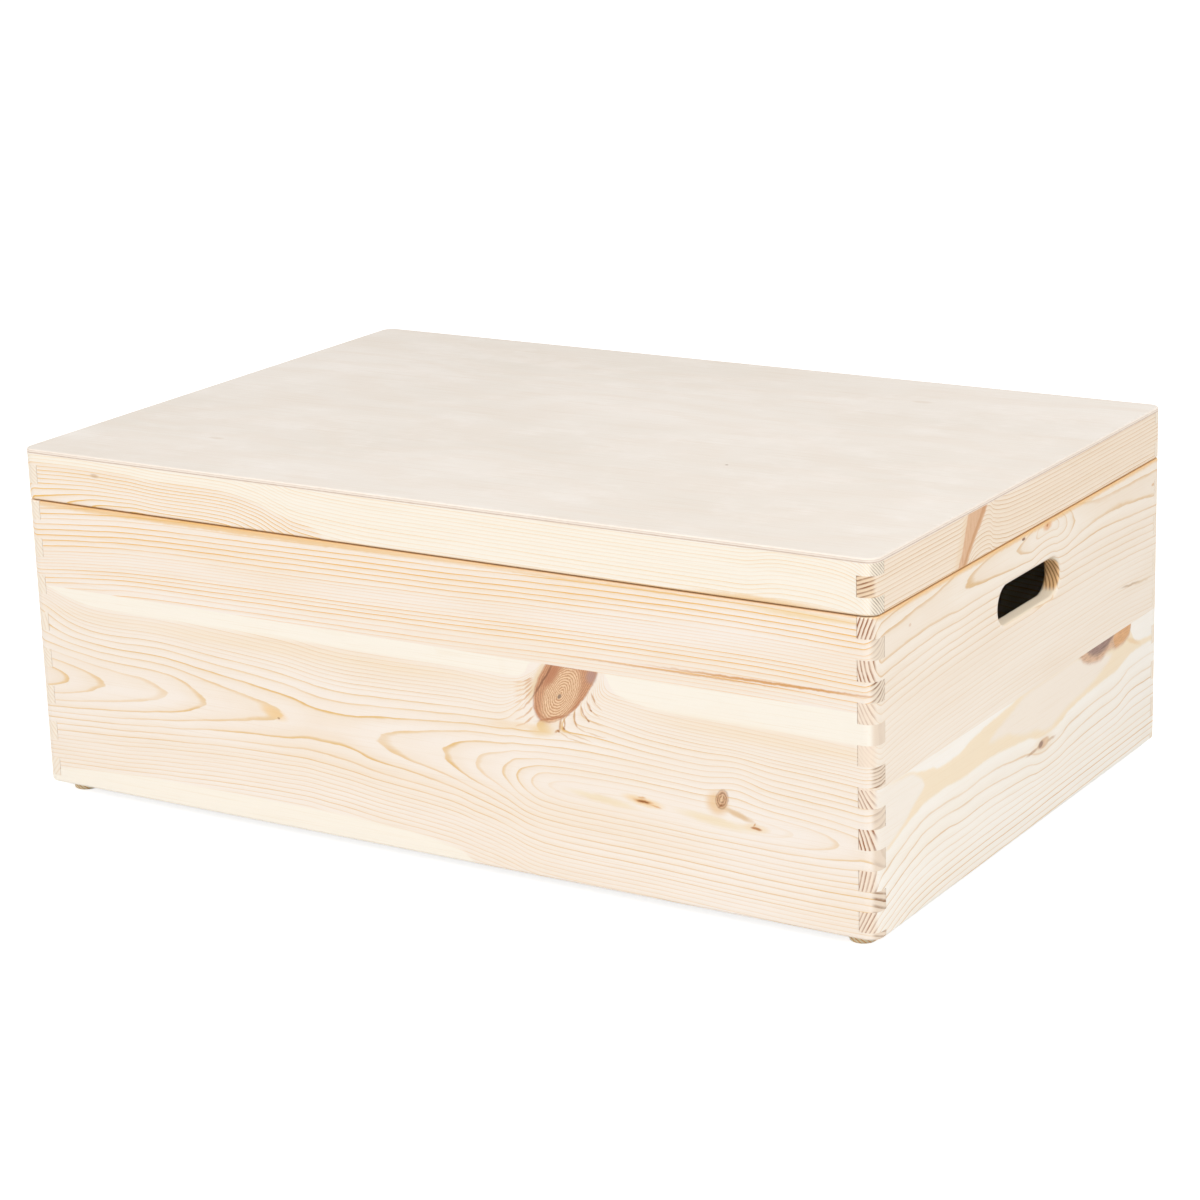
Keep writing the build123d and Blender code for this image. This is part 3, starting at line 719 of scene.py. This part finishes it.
def metal(name, colour, dull, roughness):
    """Satin metal with a fine brushed grain and slightly duller patches."""
    material, tree, shader = new_material(name, colour, roughness)
    shader.inputs["Metallic"].default_value = 1.0
    x, y, z, _ = places(tree)
    brushed = noise(vector(x / 6, y / 0.25, z / 0.25), 3.0, 0.6)
    patches = noise(vector(x / 7, y / 7, z / 7), 3.0)
    shine = brushed * 0.06 + patches * 0.08 + roughness
    finish_surface(tree, shader, blend(ramp(patches, -0.2, 0.8) * 0.5, colour, dull), brushed, 0.01, shine)
    return material


def wear(node, material):
    """Give a carried-over node this material."""
    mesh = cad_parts[node].data
    mesh.materials.clear()
    mesh.materials.append(material)


for node, (side, wood) in BOARDS.items():
    wear(node, pine(node + "_pine", side, wood))
wear("lid_panel", plywood("lid_panel", 3.0, TOP_MARKS))
wear("bottom_panel", plywood("bottom_panel", 9.0, []))
foot = foot_wood("foot_pine")
brass = metal("satin_brass", rgb(224, 200, 152), rgb(190, 160, 112), 0.34)
steel = metal("bright_steel", rgb(190, 190, 188), rgb(140, 140, 140), 0.35)
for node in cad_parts:
    if node.endswith("_foot"):
        wear(node, foot)
    elif "hinge" in node:
        wear(node, brass)
    elif "brads" in node:
        wear(node, steel)

# Floor
FLOOR_SIZE = 60.0
FLOOR_GLOW = 0.75
floor_mesh = bpy.data.meshes.new("floor")
half = FLOOR_SIZE / 2
corners = [(-half, -half, 0), (half, -half, 0), (half, half, 0), (-half, half, 0)]
floor_mesh.from_pydata(corners, [], [(0, 1, 2, 3)])
floor = bpy.data.objects.new("floor", floor_mesh)
bpy.context.scene.collection.objects.link(floor)


def seen_directly(tree):
    """1 where the camera, a reflection or glass looks straight at this surface, else 0."""
    path = tree.nodes.new("ShaderNodeLightPath")
    camera, glossy, through = (
        Field(tree, path.outputs[name]) for name in ("Is Camera Ray", "Is Glossy Ray", "Is Transmission Ray")
    )
    return (camera + glossy + through).math("MINIMUM", 1.0)


floor_material = bpy.data.materials.new("floor_white")
floor_material.use_nodes = True
tree = floor_material.node_tree
shader = tree.nodes["Principled BSDF"]
shader.inputs["Base Color"].default_value = rgb(214, 214, 214)
shader.inputs["Roughness"].default_value = 0.9
shader.inputs["Specular IOR Level"].default_value = 0.0
shader.inputs["Emission Color"].default_value = (1.0, 1.0, 1.0, 1.0)
tree.links.new((seen_directly(tree) * FLOOR_GLOW).socket, shader.inputs["Emission Strength"])
floor_mesh.materials.append(floor_material)

# World: soft white light, and plain white where it is seen
world = bpy.data.worlds.new("studio")
bpy.context.scene.world = world
world.use_nodes = True
tree = world.node_tree
SKY_LIGHT = 0.5
background = tree.nodes["Background"]
background.inputs["Color"].default_value = (1.0, 1.0, 1.0, 1.0)
tree.links.new((seen_directly(tree) * (1.0 - SKY_LIGHT) + SKY_LIGHT).socket, background.inputs["Strength"])

# Softboxes: place and side in metres, and power in watts
AIM = (0, 0, 0.1)


def lamp(name, place, size, power):
    """A square white softbox that faces the box."""
    light = bpy.data.lights.new(name, "AREA")
    light.shape = "SQUARE"
    light.size = size
    light.energy = power
    body = bpy.data.objects.new(name, light)
    body.rotation_euler = (Vector(AIM) - Vector(place)).to_track_quat("-Z", "Y").to_euler()
    body.location = place
    bpy.context.scene.collection.objects.link(body)


lamp("key", (-1.2, -3.2, 2.4), 2.2, 66)
lamp("side", (2.8, -0.8, 2.4), 1.8, 46)
lamp("high", (1.3, -0.4, 2.5), 1.2, 11)

# Camera at the photograph's place
TURN, RISE, ROLL = (math.radians(angle) for angle in (32.114, 16.398, -1.784))
CAMERA_PLACE = (1.080665, -1.725321, 0.711777)
SENSOR_WIDTH = 36.0
LENS = 99.16
camera_data = bpy.data.cameras.new("camera")
camera_data.sensor_width = SENSOR_WIDTH
camera_data.lens = LENS
camera = bpy.data.objects.new("camera", camera_data)
back = Vector((math.sin(TURN) * math.cos(RISE), -math.cos(TURN) * math.cos(RISE), math.sin(RISE)))
right = Vector((math.cos(TURN), math.sin(TURN), 0))
up = back.cross(right)
axes = (
    right * math.cos(ROLL) + up * math.sin(ROLL),
    up * math.cos(ROLL) - right * math.sin(ROLL),
    back,
)
camera.matrix_world = Matrix.Translation(CAMERA_PLACE) @ Matrix(axes).transposed().to_4x4()
bpy.context.scene.collection.objects.link(camera)
bpy.context.scene.camera = camera
bpy.context.scene.view_settings.view_transform = "Standard"
